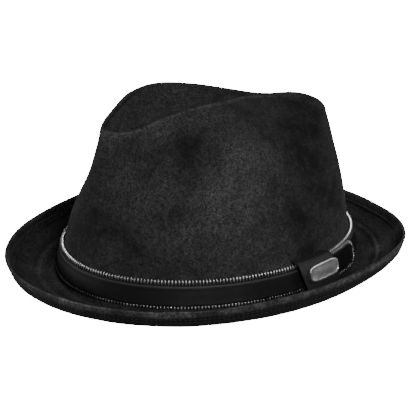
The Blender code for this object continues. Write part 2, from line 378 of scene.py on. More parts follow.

# %% [markdown]
# Nubuck shows where it was stroked. It is pale along the crest, most at the front left where the
# hat is held, and painted shade darkens the pressed line. Large soft patches lighten or darken the
# wall, partly as stroked nap and partly as painted light and shade, and a narrow painted shadow
# lies where the keeper shades it.

# %% The crown's wear, painted light and shade
NAP_AND_PAINTED_LIGHT = (
    # where the nap is stroked, and painted light and shade: place and size in mm, how much lighter
    (40, -62, 76, 13, 0.14), (64, -32, 75, 17, 0.2), (63, -5, 92, 17, 0.21),
    (69, -9, 76, 15, 0.15), (71, -28, 52, 15, 0.12), (22, -75, 86, 12, 0.08),
    (43, -44, 106, 15, -0.17), (52, -36, 100, 12, -0.12), (6, -88, 60, 14, -0.12),
    (16, -91, 44, 16, -0.17), (50, 34, 92, 30, -0.2), (59, 51, 65, 32, -0.19),
    (72, 24, 52, 18, -0.17), (30, -52, 112, 12, 0.26), (36, -26, 117, 12, 0.24),
    (30, 62, 112, 22, -0.14), (45, -78, 40, 13, -0.14), (-45, 40, 80, 20, 0.14),
    (-62, -20, 70, 18, 0.12), (-30, -80, 70, 15, -0.12), (0, 90, 60, 22, 0.12),
    # the last four patches are a painted shadow under the keeper's top edge
    (-50, -50, 95, 16, -0.14), (80.4, 19, 26.2, 3.5, -0.4), (79.5, 26, 26.2, 3.5, -0.4),
    (78, 33, 26.2, 3.5, -0.4), (76.2, 40, 26.2, 3.5, -0.4),
)
CREST_WEAR, CREST_HALF_WIDTH, CREST_OUTSIDE = 0.45, 0.0013, 0.0004
# painted shade in the pressed line, strongest at the front
LINE_SHADE = 0.35
at_front = ramp(-points[:, 1], 0.030, 0.050, least=0.1)
held = np.where(points[:, 0] > 0, 1.0, 0.6) * ramp(-points[:, 1], -0.060, -0.040, least=0.2)
crest_wear = hump((inside + CREST_OUTSIDE) / CREST_HALF_WIDTH) * held
crest_wear *= CREST_WEAR * (0.5 + mottle(points, 0.004))
# wear, painted light and shade from the patches, and painted shade in the pressed line
store_wear_and_light(crown, patches_on(points, NAP_AND_PAINTED_LIGHT) + crest_wear - LINE_SHADE * line * at_front)
shade_soft(crown, 60)

# %% [markdown]
# ## The brim
# Two layers of the same leather, sewn together near the edge: flat under the crown, then dished,
# and turned up at the rim. All that lies on it is placed by the distance from the crown's foot or
# from the rim's edge, so these two are worked out first.

# %% Where a point lies on the brim
NEVER_ZERO = 1e-9
EDGE_STEPS, EDGE_DEPTH = 180, 0.0004


def out_from_foot(points):
    """How far each point lies outside the oval at the foot of the crown, seen from above."""
    x, y = points[:, 0], points[:, 1] - MIDDLE_Y
    out = np.zeros(len(points))
    for _ in range(12):
        wide, long = HALF_WIDTH + out, HALF_LENGTH + out
        miss = (x / wide) ** 2 + (y / long) ** 2 - 1
        out += miss / (2 * x ** 2 / wide ** 3 + 2 * y ** 2 / long ** 3 + NEVER_ZERO)
    return out


def from_middle(points):
    """How far each point lies from the hat's upright middle line."""
    return np.hypot(points[:, 0], points[:, 1] - MIDDLE_Y)


def bearing(points):
    """The bearing of each point round the hat, in radians from the back."""
    return np.arctan2(points[:, 0], points[:, 1] - MIDDLE_Y) % ROUND


def find_edge(points):
    """The top of the rim at even bearings: how far it lies from the middle, and its height."""
    step = (bearing(points) / ROUND * EDGE_STEPS).astype(int) % EDGE_STEPS
    reach = from_middle(points)
    edge = np.zeros((EDGE_STEPS, 2))
    for k in range(EDGE_STEPS):
        here = step == k
        high = here & (points[:, 2] > points[here, 2].max() - EDGE_DEPTH)
        edge[k] = reach[high].mean(), points[high, 2].mean()
    return (edge + np.roll(edge, 1, 0) + np.roll(edge, -1, 0)) / 3


def read_edge(edge, angles):
    """Reads the edge's reach and height at any bearings."""
    places = (np.arange(EDGE_STEPS) + 0.5) / EDGE_STEPS * ROUND
    return [np.interp(angles, places, values, period=ROUND) for values in edge.T]


def profile(distance, rings):
    """A sum of soft rings: each at a distance and with a half width in mm, and what it adds."""
    return sum(change * hump((distance * 1000 - place) / half) for place, half, change in rings)

# %% [markdown]
# The brim is refined further than the crown, because the rings pressed in its dish are narrow. The
# leather is moved along its normals: up or down for the rings, which differ ahead of the crown and
# behind it, and in for the channels of the sewn rows.

# %% The brim's shell
PRESSED = (
    # out from the crown's foot, half width and how high it stands, in mm
    (4.2, 0.8, -0.3), (8.5, 3, 0.4), (12.9, 0.7, -0.3), (29.4, 1, -0.6),
)
PRESSED_AHEAD = (
    (5, 1.8, 0.4), (9.8, 1.2, -0.2), (14.5, 1.7, 0.5), (18, 1, -0.2),
)
PRESSED_BEHIND = (
    (15.7, 1.1, 0.6), (18, 0.8, -0.2), (20, 0.8, 0.3), (23.2, 1.8, 0.3),
)
RIM_FROM, OFF_THE_RIM = 0.026, 0.03
SEAMS_BELOW = 0.0050, 0.0068
CHANNEL_HALF_WIDTH, CHANNEL_DEPTH = 0.0006, 0.0003
brim = cage_of("brim", "brim_leather")
round_edges(brim, 0.0005, segments=1, angle=60)
refine(brim, 3, hold=3)
uneven(brim, 0.030, 0.0005, "slow_brim")
points, normals = read_points(brim)
out = out_from_foot(points)
upward = np.clip(normals[:, 2] * 4, 0, 1)
rim_edge = find_edge(points)
reach, height = read_edge(rim_edge, bearing(points))
from_edge = np.hypot(from_middle(points) - reach, points[:, 2] - height)
below = np.where(out > RIM_FROM, from_edge, OFF_THE_RIM)
channels = sum(hump((below - place) / CHANNEL_HALF_WIDTH) for place in SEAMS_BELOW)
behind = ramp(points[:, 1], 0.035, 0.085)
ahead = ramp(-points[:, 1], 0.055, 0.085)
rings = profile(out, PRESSED) * (1 - 0.8 * ahead) + profile(out, PRESSED_AHEAD) * ahead
rings = (rings + profile(out, PRESSED_BEHIND) * behind) * upward
move_points(brim, points + normals * (rings / 1000 - CHANNEL_DEPTH * channels)[:, None])
print(f"rings up to {rings.max():.2f} mm high")

# %% [markdown]
# Fingers rub a brim at its lip, so it is patchy and pale there, with a painted highlight on its top
# edge. Painted highlights lie on the raised rings, between the sewn rows and in arcs behind the
# keeper, and painted shade lies in the pressed rings, the channels and under the lip. Listed
# patches add tone and painted highlights. As on the crown, all of this is one value for each point.

# %% The brim's wear, painted light and shade
HIGHLIGHT_ARCS = (
    # painted highlight arcs: out from the crown's foot and half width in mm, how much lighter
    (15.7, 1, 1.4), (19.4, 0.8, 0.8), (22.5, 2, 0.4),
)
HIGHLIGHT_ARCS_BEARING, HIGHLIGHT_ARCS_SPREAD = 26, 9
BRIM_TONE_AND_HIGHLIGHTS = (
    # patchy tone and painted highlights: place and size in mm, how much lighter
    (-36, -108, 2, 11, 0.22), (-12, -118, 3, 12, 0.2), (-36, -116, 4, 10, 0.1),
    (10, -130, 8, 9, 0.2), (48, 106, 4, 8, 0.16), (45, 126, 13, 9, 0.26), (66, 84, 2, 9, 0.16),
    (-95, -60, 6, 20, -0.1), (-20, 130, 8, 22, -0.1), (20, -139, 16, 10, 0.22),
    (45, -129, 16, 9, 0.3), (66, -116, 16, 8, 0.22), (93, -86, 17, 10, 0.14),
    (42, 128, 12.6, 5, 0.4), (49, 107, 4.5, 6, 0.3), (86, 70, 10, 12, 0.14),
    (-60, 100, 4, 16, 0.12), (30, -136, 16, 6, 0.28), (53, -127, 17, 6, 0.34),
    (6, -141, 17, 6, 0.2), (50.3, 106, 5, 6, 0.2), (44, -132, 17, 5, 0.45),
    (54, -124, 18, 5, 0.45),
)
LIP_OUTSIDE, LIP_INSIDE, LIP_EDGE = 0.0028, 0.0015, 0.0010
# painted light on the raised rings and painted shade in the pressed ones, for each millimetre
RING_PAINTED_LIGHT = 0.5  # for each millimetre
outward = ((points[:, :2] - (0, MIDDLE_Y)) * normals[:, :2]).sum(axis=1) > 0
outer = outward & (out > RIM_FROM)
patchy = np.clip(3 * mottle(points, 0.008) - 0.8, 0.15, 1.6)
# the lip is pale and patchy where it is rubbed, with a narrow painted highlight on its top edge
lip_wear_and_highlight = 0.72 * patchy * hump(below / np.where(outer, LIP_OUTSIDE, LIP_INSIDE))
lip_wear_and_highlight += 0.20 * hump(below / LIP_EDGE)
# painted shade on the rim's outer face below the lip
painted_shade_under_lip = outward * ramp(out, 0.021, 0.027) * ramp(below, 0.0024, 0.0044)
# painted highlight arcs on the brim behind the keeper
highlight_arcs = hump((np.degrees(bearing(points)) - HIGHLIGHT_ARCS_BEARING) / HIGHLIGHT_ARCS_SPREAD) * upward
# a painted highlight on the raised strip between the sewn rows
highlight_between_rows = hump((below - sum(SEAMS_BELOW) / 2) / CHANNEL_HALF_WIDTH) * ~outer
# painted shade darkens the channels of the sewn rows
store_wear_and_light(brim, (
    rings * RING_PAINTED_LIGHT * (1 + 0.4 * ahead) + highlight_arcs * profile(out, HIGHLIGHT_ARCS) + lip_wear_and_highlight
    - 0.34 * painted_shade_under_lip + 0.50 * highlight_between_rows - 0.20 * channels + patches_on(points, BRIM_TONE_AND_HIGHLIGHTS)
))
shade_soft(brim, 60)

# %% [markdown]
# Two rows of stitches run round the rim, through both layers. One stitch is a cylinder bowed in the
# middle, and copies of it lie end to end in the channels, on the inner and the outer face. A ray
# cast at the finished rim finds the leather under each.

# %% One stitch
STITCH_PITCH, STITCH_LENGTH = 0.0030, 0.0024
THREAD = 0.00026  # half its thickness
let_go()
bpy.ops.mesh.primitive_cylinder_add(
    vertices=6, radius=THREAD, depth=STITCH_LENGTH, end_fill_type="TRIFAN",
    rotation=(math.pi / 2, 0, 0),
)
stitch = bpy.context.object
bpy.ops.object.transform_apply(location=True, rotation=True, scale=True)
edit_all()
bpy.ops.mesh.bisect(plane_co=(0, 0, 0), plane_no=(0, 1, 0))
bpy.ops.transform.translate(value=(THREAD, 0, 0))  # bows it outward along X
bpy.ops.object.mode_set(mode="OBJECT")
print(f"stitch: {len(stitch.data.polygons)} faces")

# %% The sewn rows
RAY_OUTSIDE, RAY_INSIDE, RAY_LENGTH = 0.03, 0.02, 0.06


def placed(point, out, up):
    """The matrix that sets a small piece at a point with its X outward and its Z up."""
    turned = Matrix((out, up.cross(out), up)).transposed()
    return Matrix.Translation(point) @ turned.to_4x4()


def set_copies(name, pattern, places):
    """Sets a copy of one small piece at each place and joins them into one."""
    let_go()
    copies = []
    for place in places:
        copy = bpy.data.objects.new(name, pattern.data.copy())
        copy.data.transform(place)
        scene.collection.objects.link(copy)
        copy.select_set(True)
        copies.append(copy)
    bpy.context.view_layer.objects.active = copies[0]
    bpy.ops.object.join()
    row = bpy.context.object
    row.name = row.data.name = name
    shade_soft(row, 50)
    return row


def sewn_places(below_edge, outer):
    """Places along one row of stitches on one face of the rim."""
    circle = np.linspace(0, ROUND, 2001)
    reach, height = read_edge(rim_edge, circle)
    length = length_along(reach * np.cos(circle), reach * np.sin(circle))
    places = []
    for k in range(round(length[-1] / STITCH_PITCH)):
        angle = np.interp((k + 0.5) * STITCH_PITCH, length, circle)
        level = Vector((math.sin(angle), math.cos(angle), 0))
        reach, height = (float(value) for value in read_edge(rim_edge, angle))
        away = reach + RAY_OUTSIDE if outer else reach - RAY_INSIDE
        start = Vector((0, MIDDLE_Y, height - below_edge)) + level * away
        point, normal, _, _ = leather.ray_cast(start, -level if outer else level, RAY_LENGTH)
        if point is not None:
            up = level.cross(Vector((0, 0, 1))).cross(normal).normalized()
            places.append(placed(point - normal * THREAD * 0.9, normal, up))
    return places


leather = BVHTree.FromPolygons(
    [vert.co for vert in brim.data.vertices], [tuple(face.vertices) for face in brim.data.polygons]
)
brim_seams = set_copies("brim_seams", stitch, [
    place
    for below_edge in SEAMS_BELOW for outer in (True, False)
    for place in sewn_places(below_edge, outer)
])

# %% [markdown]
# ## The strap
# A smooth leather strap, folded over at both edges, lies round the foot of the crown. A circle is
# stretched to the oval, and its edge is extruded through the corners of the strap's section,
# narrowing as the wall leans in. A bridge from the last edge to the first closes the ring. The
# strap hangs a little over the lower zip, and a painted highlight runs along its top edge.

# %% A ring drawn round the wall
RING_POINTS = 256


def ring_round_wall(name, section):
    """A closed ring through the corners of its section, as pairs of standing out and height."""
    let_go()
    pivot = (0, MIDDLE_Y, 0)
    stands, height = section[0]
    bpy.ops.mesh.primitive_circle_add(vertices=RING_POINTS, location=(0, MIDDLE_Y, height))
    ring = bpy.context.object
    ring.name = ring.data.name = name
    bpy.ops.object.transform_apply(location=True, rotation=True, scale=True)
    edit_all()
    wide, long = half_axes(height, stands)
    bpy.ops.transform.resize(value=(wide, long, 1), center_override=pivot)
    for stands, new_height in section[1:]:
        rise = (0, 0, new_height - height)
        bpy.ops.mesh.extrude_edges_move(TRANSFORM_OT_translate={"value": rise})
        new_wide, new_long = half_axes(new_height, stands)
        bpy.ops.transform.resize(value=(new_wide / wide, new_long / long, 1), center_override=pivot)
        wide, long, height = new_wide, new_long, new_height
    bpy.ops.mesh.select_all(action="DESELECT")
    bpy.ops.mesh.select_non_manifold(extend=False)
    bpy.ops.mesh.bridge_edge_loops()
    bpy.ops.mesh.select_all(action="SELECT")
    bpy.ops.mesh.normals_make_consistent(inside=False)
    bpy.ops.object.mode_set(mode="OBJECT")
    return ring


STRAP_BACK, STRAP_FACE = 0.0013, 0.0027
FOLD, SWELL = 0.0005, 0.0001
STRAP_LOW = STRAP_FOOT - 0.0010
EDGE_HIGHLIGHT_WIDTH = 0.0004
half_section = (
    # how far it stands out, how far from the strap's edge
    (STRAP_BACK, FOLD), (STRAP_BACK + FOLD, 0), (STRAP_FACE - FOLD, 0), (STRAP_FACE, FOLD),
    (STRAP_FACE + SWELL, 0.0020), (STRAP_FACE - SWELL, 0.0026),
)
strap = ring_round_wall("band_strap_leather", (
    *((stands, STRAP_LOW + height) for stands, height in half_section),
    (STRAP_FACE, (STRAP_FOOT + STRAP_TOP) / 2),
    *((stands, STRAP_TOP - height) for stands, height in reversed(half_section)),
))
refine(strap, 1)
uneven(strap, 0.020, 0.0002, "slow_strap")
heights = read_points(strap)[0][:, 2]
# a painted highlight along the strap's top fold
store_wear_and_light(strap, hump((heights - STRAP_TOP + EDGE_HIGHLIGHT_WIDTH) / EDGE_HIGHLIGHT_WIDTH))
shade_soft(strap, 60)

# %% [markdown]
# ## The zips
# The band is edged with the two halves of a metal zip. Each is a woven tape, tucked in behind the
# strap, whose corded edge the teeth clamp on. The tape is a ring like the strap.

# %% The woven tapes
TAPE_BACK, TAPE_FACE = 0.0004, 0.0010
CORD_FACE, CORD_HEIGHT = 0.0017, 0.0012
TUCKED_IN = 0.0050


def tape_section(inner, edge, side):
    """A flat tape from its inner edge, with a corded edge. The side is 1 upward and -1 downward."""
    cord = CORD_HEIGHT * side
    return (
        (TAPE_BACK, inner), (TAPE_FACE, inner), (TAPE_FACE, edge - cord),
        (CORD_FACE, edge - cord * 0.75), (CORD_FACE, edge - cord * 0.25),
        (TAPE_FACE + 0.0002, edge), (TAPE_BACK, edge),
    )


upper_section = tape_section(STRAP_TOP - TUCKED_IN, BAND_TOP - 0.0014, 1)
lower_section = tape_section(STRAP_FOOT + TUCKED_IN, BAND_FOOT + 0.0020, -1)
upper_tape = ring_round_wall("zip_upper_tape", upper_section)
lower_tape = ring_round_wall("zip_lower_tape", lower_section)
for tape in (upper_tape, lower_tape):
    round_edges(tape, 0.00015, segments=1, angle=30)
    shade_soft(tape, 50)

# %% [markdown]
# A zip tooth clamps on the cord by its root and ends in a head with a blunt point. One is extruded
# from a cube into shoulder, head and point, and bevelled. The upper row shows its heads in full.
# The lower one shows only plain stubs, so its teeth have straighter sides and a shallower root.

# %% One tooth
TOOTH_DEPTH, TOOTH_WIDTH, TOOTH_LENGTH = 0.0022, 0.00092, 0.0036
TOOTH_PITCH = 0.00216
ROOT, SHOULDER, HEAD, POINT = 0.32, 0.03, 0.45, 0.20  # shares of the length
POINT_SMALLER = 0.62, 0.60  # shares of the head's depth and width


def make_tooth(neck, root):
    """A zip tooth, its head up. The neck is a share of the head's width, the root of its depth."""
    let_go()
    bpy.ops.mesh.primitive_cube_add(size=1)
    tooth = bpy.context.object
    bpy.ops.transform.resize(value=(TOOTH_DEPTH * root, TOOTH_WIDTH * neck, TOOTH_LENGTH * ROOT))
    bpy.ops.object.transform_apply(location=True, rotation=True, scale=True)
    mark_faces(tooth, read_table(tooth.data.polygons, "normal")[:, 2] > 0.9)
    for share, wider in (
        (SHOULDER, (1, 1 / neck, 1)), (HEAD, (1 / root, 1, 1)), (POINT, (*POINT_SMALLER, 1)),
    ):
        up = (0, 0, TOOTH_LENGTH * share)
        bpy.ops.mesh.extrude_region_move(TRANSFORM_OT_translate={"value": up})
        bpy.ops.transform.resize(value=wider)
    bpy.ops.mesh.select_all(action="SELECT")
    bpy.ops.transform.translate(value=(0, 0, -TOOTH_LENGTH * (1 - ROOT) / 2))
    close_edit()
    round_edges(tooth, 0.00016, segments=1, angle=25)
    print(f"tooth: {len(tooth.data.polygons)} faces")
    return tooth


tooth = make_tooth(0.82, 1.0)
plain_tooth = make_tooth(0.95, 0.68)

# %% [markdown]
# The teeth stand at one even pitch round the wall. Copies of the one tooth, each with its own mesh,
# are turned to the wall's directions, set in place and joined into one row.

# %% Rows of teeth
TEETH_BACK = 0.0003
LOWER_LENGTH, LOWER_LIFT = 0.0028, 0.0009


def row_of_teeth(name, pattern, tip, length, way):
    """A row of teeth round the wall, by the height of their tips. The way is 1 up and -1 down."""
    height = tip - way * length / 2
    shorter = Matrix.Diagonal((1, 1, length / TOOTH_LENGTH, 1))
    stands = TEETH_BACK + TOOTH_DEPTH / 2
    places = []
    for turn in even_turns(height, stands, TOOTH_PITCH):
        out, _, up = wall_axes(turn)
        places.append(placed(on_wall(turn, height, stands), out, up * way) @ shorter)
    print(f"{name}: {len(places)} teeth")
    return set_copies(name, pattern, places)


upper_teeth = row_of_teeth("zip_upper_teeth", tooth, BAND_TOP, TOOTH_LENGTH, 1)
lower_tip = BAND_FOOT + LOWER_LIFT
lower_teeth = row_of_teeth("zip_lower_teeth", plain_tooth, lower_tip, LOWER_LENGTH, -1)

# %% [markdown]
# ## The tongue
# The band's free end, with a zip round its own edge, lies over it and points to the back. The edge
# runs along the top, round the tip in half an oval, and back below. Smaller copies of the tooth
# stand at even steps along that path and point out of it.

# %% The tongue's edge
TONGUE_START, TONGUE_END = -0.0105, 0.0495  # behind the keeper's middle
TONGUE_HALF_HEIGHT = (BAND_TOP - BAND_FOOT) / 2 - 0.0020 * math.sin(LEAN)
TONGUE_TIP = 1.15 * TONGUE_HALF_HEIGHT  # how far the round tip reaches
TONGUE_STANDS = 0.0032
BAND_MIDDLE = (BAND_FOOT + BAND_TOP) / 2
SMALLER = 0.62, 0.90, 0.70  # shares of the tooth's depth, width and length
inset, spacing = TOOTH_LENGTH * SMALLER[2] / 2, TOOTH_PITCH * SMALLER[1]
half_height, tip = TONGUE_HALF_HEIGHT - inset, TONGUE_TIP - inset
straight = TONGUE_END - TONGUE_TIP - TONGUE_START
steps = round(straight / spacing)
# each place: behind the keeper's middle, height, and the way out of the edge
upper = [(TONGUE_START + straight * (k + 0.5) / steps, half_height, 0, 1) for k in range(steps)]
fine = np.linspace(math.pi / 2, -math.pi / 2, 401)
length = length_along(tip * np.cos(fine), half_height * np.sin(fine))
count = round(length[-1] / spacing)
angles = np.interp((np.arange(count) + 0.5) / count * length[-1], length, fine)
bend = [
    (TONGUE_END - TONGUE_TIP + tip * x, half_height * y, x / tip, y / half_height)
    for x, y in zip(np.cos(angles), np.sin(angles))
]
lower = [(distance, -height, 0, -1) for distance, height, _, _ in reversed(upper)]
print(f"tongue: {steps} teeth along each side and {count} round the tip")

# %% The tongue's teeth
small_stands = TONGUE_STANDS + 0.0002 + TOOTH_DEPTH * SMALLER[0] / 2


def over_band(distance, height, across, over):
    """Where a small tooth lies over the band, behind the keeper's middle, and the way it points."""
    turn = band_turn(distance)
    out, along, up = wall_axes(turn)
    point = on_wall(turn, BAND_MIDDLE + height * math.cos(LEAN), small_stands)
    way = (up * over + along * across).normalized()
    return placed(point, out, way) @ Matrix.Diagonal((*SMALLER, 1))


small_places = [over_band(*place) for place in upper + bend + lower]
tongue_teeth = set_copies("tongue_zip_teeth", tooth, small_places)

# %% [markdown]
# The tongue's leather and its tape come from the frame, merged and rounded. The leather is drawn in
# along the wall, so that the teeth show past its edge, and the tape less, so that it carries them.

# %% The tongue's leather and tape
TEETH_SHOW, CORD_INSET = 0.0014, 0.0010


def resize_over_band(piece, grow, thin):
    """Grows or shrinks a piece of the tongue along the wall, and makes it thinner off it."""
    points = read_points(piece)[0]
    tip_turn = band_turn(TONGUE_END - TONGUE_TIP)
    for point, distance in zip(points, out_from_foot(points)):
        wide, long = HALF_WIDTH + distance, HALF_LENGTH + distance
        turn = math.atan2(point[0] / wide, (point[1] - MIDDLE_Y) / long)
        if turn < tip_turn:
            turn = tip_turn + (turn - tip_turn) * grow
        height = BAND_MIDDLE + (point[2] - BAND_MIDDLE) * grow
        stands = distance + (point[2] - FOOT) * math.tan(LEAN)
        point[:] = on_wall(turn, height, TONGUE_STANDS + (stands - TONGUE_STANDS) * thin)
    move_points(piece, points)


tongue = cage_of("tongue", "tongue_leather")
low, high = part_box("tongue")
leather_height = (TONGUE_HALF_HEIGHT - TEETH_SHOW) * 2 * math.cos(LEAN)
resize_over_band(tongue, leather_height / (high[2] - low[2]), 1.0)
round_edges(tongue, 0.00045, segments=2, angle=50)
refine(tongue, 1)
shade_soft(tongue, 50)
tongue_tape = cage_of("tongue_zip", "tongue_zip_tape")
resize_over_band(tongue_tape, 1 - CORD_INSET / TONGUE_HALF_HEIGHT, 0.4)
round_edges(tongue_tape, 0.0002, segments=1, angle=40)
shade_soft(tongue_tape, 50)

# %% [markdown]
# ## The keeper and the plate
# A plain sleeve of leather holds the tongue down, and a small bare metal plate is riveted to it.
# The plate's outward face is inset level for a border, then inward for a sunk face, and all its
# edges are rounded to catch the light.

# %% The keeper and the plate
keeper = cage_of("keeper", "keeper_leather")
round_edges(keeper, 0.00045, segments=2, angle=30)
refine(keeper, 2, hold=2)
shade_soft(keeper, 60)

PLATE_BORDER, PLATE_STEP, PLATE_SUNK = 0.0011, 0.0003, 0.0004
plate = cage_of("badge_plate", "badge_plate_metal")
out_of_wall = wall_axes(KEEPER_TURN)[0]
outward_faces = read_table(plate.data.polygons, "normal") @ out_of_wall > 0.75
mark_faces(plate, outward_faces)
bpy.ops.mesh.inset(thickness=PLATE_BORDER, depth=0, use_even_offset=False)
bpy.ops.mesh.inset(thickness=PLATE_STEP, depth=-PLATE_SUNK, use_even_offset=False)
close_edit()
round_edges(plate, 0.0003, segments=2, angle=35)
print("plate faces turned outward:", outward_faces.sum())
shade_soft(plate, 30)

# %% [markdown]
# The head opening is a little squarer in front than a true oval, as a block is. The crown and all
# that lies round its foot are pushed out there together, most at the foot and less above.

# %% The squarer front
SQUARE_TURN, SQUARE_SPREAD, SQUARE_OUT = 155, 32, 0.0017
SQUARE_FULL, SQUARE_GONE = 0.03, 0.10  # heights


def square_front(piece):
    """Pushes a piece out on both sides of the front, and less the higher it lies."""
    points = read_points(piece)[0]
    across = np.abs(points[:, 0]) * HALF_LENGTH / HALF_WIDTH
    from_back = np.degrees(np.arctan2(across, points[:, 1] - MIDDLE_Y))
    turns = SQUARE_TURN, 360 - SQUARE_TURN
    share = sum(hump((from_back - turn) / SQUARE_SPREAD) for turn in turns)
    share *= np.interp(points[:, 2], (SQUARE_FULL, SQUARE_GONE), (1, 0))
    step = share * SQUARE_OUT / (from_middle(points) + NEVER_ZERO)
    points[:, :2] += (points[:, :2] - (0, MIDDLE_Y)) * step[:, None]
    move_points(piece, points)
    print(f"{piece.name}: pushed out by up to {share.max() * SQUARE_OUT * 1000:.2f} mm")


for piece in (crown, strap, upper_tape, lower_tape, upper_teeth, lower_teeth):
    square_front(piece)

# %% [markdown]
# ## Grain and nap
# Nubuck is leather sanded to a short velvet. Its fibres lie every way, so it shows pale specks, and
# clouds where it was stroked. Smooth leather shows pores and fine wrinkles instead. Each is a node
# group that gives a tone and a height, because several materials use it.

# %% Node groups
def new_group(name, **inputs):
    """A node group that makes a tone and a height of some values, and its two end nodes."""
    group = bpy.data.node_groups.new(name, "ShaderNodeTree")
    for label, default in inputs.items():
        socket = group.interface.new_socket(label, in_out="INPUT", socket_type="NodeSocketFloat")
        socket.default_value = default
    for label in ("Tone", "Height"):
        group.interface.new_socket(label, in_out="OUTPUT", socket_type="NodeSocketFloat")
    return group, group.nodes.new("NodeGroupInput"), group.nodes.new("NodeGroupOutput")


def add(tree, kind, **settings):
    """Adds a node with its settings: node properties first, then input values by name."""
    node = tree.nodes.new(kind)
    for key, value in settings.items():
        if hasattr(node, key):
            setattr(node, key, value)
        else:
            node.inputs[key.replace("_", " ")].default_value = value
    return node


def noise(tree, place, scale, detail, roughness=0.5, distortion=0.0):
    """A noise texture on a place, with its size as specks to the metre."""
    node = add(
        tree, "ShaderNodeTexNoise",
        Scale=scale, Detail=detail, Roughness=roughness, Distortion=distortion,
    )
    tree.links.new(place, node.inputs["Vector"])
    return node.outputs["Fac"]


def calculate(tree, operation, a, b):
    """A math node between two sockets or numbers."""
    node = add(tree, "ShaderNodeMath", operation=operation)
    for socket, value in zip(node.inputs, (a, b)):
        if isinstance(value, (int, float)):
            socket.default_value = value
        else:
            tree.links.new(value, socket)
    return node.outputs[0]


def spread_out(tree, value, low, high, to_low=0.0, to_high=1.0):
    """Stretches the part of a value between low and high."""
    node = add(
        tree, "ShaderNodeMapRange", From_Min=low, From_Max=high, To_Min=to_low, To_Max=to_high
    )
    tree.links.new(value, node.inputs["Value"])
    return node.outputs["Result"]

# %% [markdown]
# The nap has three layers of noise: specks of single fibres, tufts of some of them, and clouds. The
# clouds and the wear, with its painted light and shade, say how light the nap is, and specks and
# tufts vary that from fibre to fibre. The pores are the edges of Voronoi cells.

# %% The nap
SPECKS, TUFTS, CLOUDS = 1050, 420, 55  # to the metre
NAP_TONE, DARKEST, DULLEST = 0.38, 0.05, 0.2
NAP, given, result = new_group("nubuck_nap", Worn=0.0, Clouds=0.19)
place = add(NAP, "ShaderNodeTexCoord").outputs["Object"]
specks = spread_out(NAP, noise(NAP, place, SPECKS, 2, 0.7), 0.28, 0.72, -1, 1)
tufts = spread_out(NAP, noise(NAP, place, TUFTS, 2, 0.6), 0.30, 0.70, -0.4, 0.4)
clouds = spread_out(NAP, noise(NAP, place, CLOUDS, 4, 0.68, 0.5), 0.30, 0.70, -1, 1)
slow = calculate(NAP, "MULTIPLY", clouds, given.outputs["Clouds"])
slow = calculate(NAP, "ADD", calculate(NAP, "ADD", slow, given.outputs["Worn"]), NAP_TONE)
slow = calculate(NAP, "MAXIMUM", slow, DARKEST)
fibres = calculate(NAP, "ADD", specks, tufts)
nap = calculate(NAP, "MAXIMUM", calculate(NAP, "ADD", fibres, 1.0), DULLEST)
NAP.links.new(calculate(NAP, "MULTIPLY", slow, nap), result.inputs["Tone"])
NAP.links.new(fibres, result.inputs["Height"])

# %% The pores
PORES_TO_METRE = 1500.0
PORES, given, result = new_group("leather_pores", Size=1.0)
place = add(PORES, "ShaderNodeTexCoord").outputs["Object"]
cells = add(PORES, "ShaderNodeTexVoronoi", feature="DISTANCE_TO_EDGE")
PORES.links.new(place, cells.inputs["Vector"])
scale = calculate(PORES, "DIVIDE", PORES_TO_METRE, given.outputs["Size"])
PORES.links.new(scale, cells.inputs["Scale"])
wrinkles = spread_out(PORES, cells.outputs["Distance"], 0.0, 0.22)
slow = spread_out(PORES, noise(PORES, place, 60, 3), 0.3, 0.7)
height = calculate(PORES, "ADD", wrinkles, noise(PORES, place, 420, 2))
PORES.links.new(slow, result.inputs["Tone"])
PORES.links.new(height, result.inputs["Height"])
print("groups:", NAP.name, PORES.name)

# %% [markdown]
# ## The finishes
# A material mixes two colours by its group's tone, and is bumped by its height. The mix isn't
# clamped, so that worn places and painted highlights go on getting lighter. Roughness follows the
# tone too, because stroked nap shines a little. Smooth leather has a pale colour for a painted
# highlight along its edge.

# %% Leather materials
EDGE_LIGHTER = 4


def start_material(name, group, **values):
    """A material with its Principled shader and one placed group."""
    material = bpy.data.materials.new(name)
    material.use_nodes = True
    tree = material.node_tree
    shader = tree.nodes["Principled BSDF"]
    effect = tree.nodes.new("ShaderNodeGroup")
    effect.node_tree = group
    for label, value in values.items():
        effect.inputs[label].default_value = value
    return material, tree, shader, effect


def mix_colours(tree, factor, dark, light):
    """A colour between a dark and a light one."""
    node = add(tree, "ShaderNodeMix", data_type="RGBA", clamp_factor=False)
    tree.links.new(factor, node.inputs[0])
    for socket, colour in zip(node.inputs[6:8], (dark, light)):
        if isinstance(colour, tuple):
            socket.default_value = (*colour, 1)
        else:
            tree.links.new(colour, socket)
    return node.outputs[2]


def surface(made, colour, roughness, height, depth, strength):
    """Gives a material its colour, a roughness that follows the tone, and a bump."""
    material, tree, shader, effect = made
    tree.links.new(colour, shader.inputs["Base Color"])
    rough = spread_out(tree, effect.outputs["Tone"], 0, 1, *roughness)
    tree.links.new(rough, shader.inputs["Roughness"])
    bump = add(tree, "ShaderNodeBump", Strength=strength, Distance=depth)
    tree.links.new(height, bump.inputs["Height"])
    tree.links.new(bump.outputs["Normal"], shader.inputs["Normal"])
    return material


